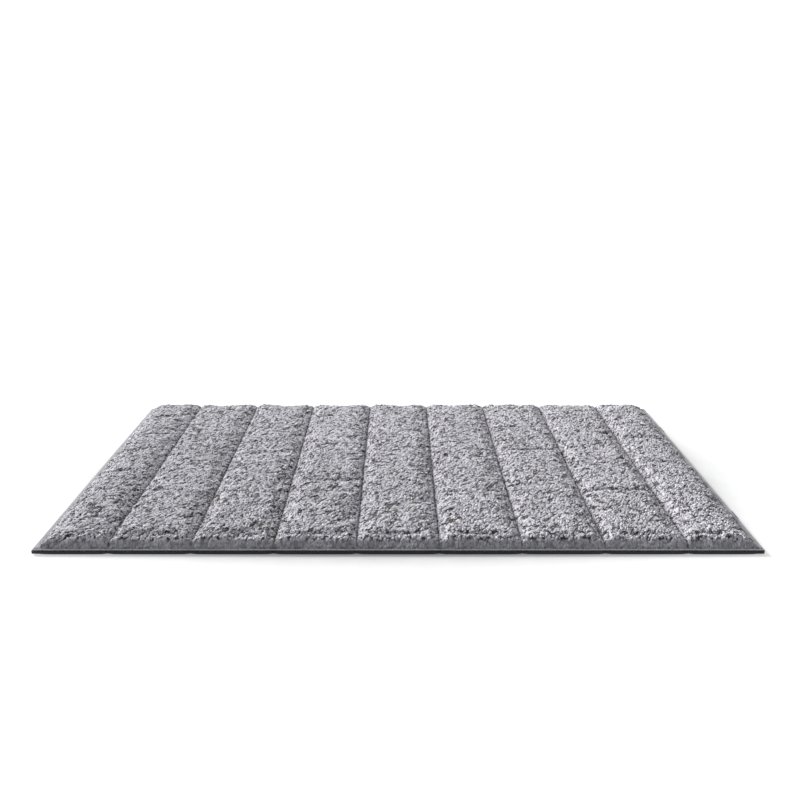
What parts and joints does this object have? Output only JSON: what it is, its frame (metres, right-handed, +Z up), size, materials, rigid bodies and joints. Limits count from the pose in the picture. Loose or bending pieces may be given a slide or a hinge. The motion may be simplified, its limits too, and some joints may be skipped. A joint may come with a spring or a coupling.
{
  "type": "bath mat",
  "caption": "Rectangular padded bath mat with a looped fleece face and woven backing, quilted into channels that fold at the seams so it rolls up, with tabs to hold the roll.",
  "frame": {"origin": "middle of the flat underside, on the floor", "axes": "+X along the long side towards the end with the closure tabs, +Y to the back, +Z up"},
  "size_m": [0.9014, 0.618, 0.02],
  "materials": {
    "fleece": "looped grey fleece pile",
    "wadding": "soft white polyester wadding",
    "backing": "slubby dark slate-blue weave",
    "thread": "matt spun thread",
    "band": "dense dark slate-blue weave",
    "leather": "tan grained leather",
    "closure": "black hook and loop tape",
    "satin": "white woven satin"
  },
  "bodies": {
    "channel_1": {"fleece_1": "fleece", "wadding_1": "wadding", "backing_1": "backing", "hem_stitching_1": "thread"},
    "channel_2": {"fleece_2": "fleece", "wadding_2": "wadding", "backing_2": "backing", "hem_stitching_2": "thread", "quilting_thread_1": "thread"},
    "channel_3": {"fleece_3": "fleece", "wadding_3": "wadding", "backing_3": "backing", "hem_stitching_3": "thread", "quilting_thread_2": "thread"},
    "channel_4": {"fleece_4": "fleece", "wadding_4": "wadding", "backing_4": "backing", "hem_stitching_4": "thread", "quilting_thread_3": "thread", "loop_patch_front": "closure", "loop_patch_back": "closure"},
    "channel_5": {"fleece_5": "fleece", "wadding_5": "wadding", "backing_5": "backing", "hem_stitching_5": "thread", "quilting_thread_4": "thread"},
    "channel_6": {"fleece_6": "fleece", "wadding_6": "wadding", "backing_6": "backing", "hem_stitching_6": "thread", "quilting_thread_5": "thread"},
    "channel_7": {"fleece_7": "fleece", "wadding_7": "wadding", "backing_7": "backing", "hem_stitching_7": "thread", "quilting_thread_6": "thread"},
    "channel_8": {"fleece_8": "fleece", "wadding_8": "wadding", "backing_8": "backing", "hem_stitching_8": "thread", "quilting_thread_7": "thread", "carry_band": "band", "carry_band_stitching": "thread", "leather_label": "leather", "label_stitching": "thread", "care_tag": "satin"},
    "channel_9": {"fleece_9": "fleece", "wadding_9": "wadding", "backing_9": "backing", "hem_stitching_9": "thread", "quilting_thread_8": "thread", "closure_tab_front_sewn_end": "closure", "closure_tab_back_sewn_end": "closure"},
    "tab_front": {"closure_tab_front": "closure"},
    "tab_back": {"closure_tab_back": "closure"}
  },
  "joints": [
    {"name": "seam_8_fold", "type": "hinge", "parent": "channel_9", "child": "channel_8", "pos_m": [0.357, 0, 0.006], "axis": [0, 1, 0], "range_deg": [0, 55]},
    {"name": "seam_7_fold", "type": "hinge", "parent": "channel_8", "child": "channel_7", "pos_m": [0.255, 0, 0.006], "axis": [0, 1, 0], "range_deg": [0, 57]},
    {"name": "seam_6_fold", "type": "hinge", "parent": "channel_7", "child": "channel_6", "pos_m": [0.153, 0, 0.006], "axis": [0, 1, 0], "range_deg": [0, 59]},
    {"name": "seam_5_fold", "type": "hinge", "parent": "channel_6", "child": "channel_5", "pos_m": [0.051, 0, 0.006], "axis": [0, 1, 0], "range_deg": [0, 61]},
    {"name": "seam_4_fold", "type": "hinge", "parent": "channel_5", "child": "channel_4", "pos_m": [-0.051, 0, 0.006], "axis": [0, 1, 0], "range_deg": [0, 65]},
    {"name": "seam_3_fold", "type": "hinge", "parent": "channel_4", "child": "channel_3", "pos_m": [-0.153, 0, 0.006], "axis": [0, 1, 0], "range_deg": [0, 75]},
    {"name": "seam_2_fold", "type": "hinge", "parent": "channel_3", "child": "channel_2", "pos_m": [-0.255, 0, 0.006], "axis": [0, 1, 0], "range_deg": [0, 75]},
    {"name": "seam_1_fold", "type": "hinge", "parent": "channel_2", "child": "channel_1", "pos_m": [-0.357, 0, 0.006], "axis": [0, 1, 0], "range_deg": [0, 84]},
    {"name": "tab_front_swing", "type": "hinge", "parent": "channel_9", "child": "tab_front", "pos_m": [0.4524, -0.185, 0.0025], "axis": [0, -1, 0], "range_deg": [0, 244]},
    {"name": "tab_back_swing", "type": "hinge", "parent": "channel_9", "child": "tab_back", "pos_m": [0.4524, 0.185, 0.0025], "axis": [0, -1, 0], "range_deg": [0, 244]}
  ],
  "couplings": [
    {"joint": "seam_7_fold", "follows": "seam_8_fold", "ratio": 1.0364},
    {"joint": "seam_6_fold", "follows": "seam_8_fold", "ratio": 1.0727},
    {"joint": "seam_5_fold", "follows": "seam_8_fold", "ratio": 1.1091},
    {"joint": "seam_4_fold", "follows": "seam_8_fold", "ratio": 1.1818},
    {"joint": "seam_3_fold", "follows": "seam_8_fold", "ratio": 1.3636},
    {"joint": "seam_2_fold", "follows": "seam_8_fold", "ratio": 1.3636},
    {"joint": "seam_1_fold", "follows": "seam_8_fold", "ratio": 1.5273}
  ]
}
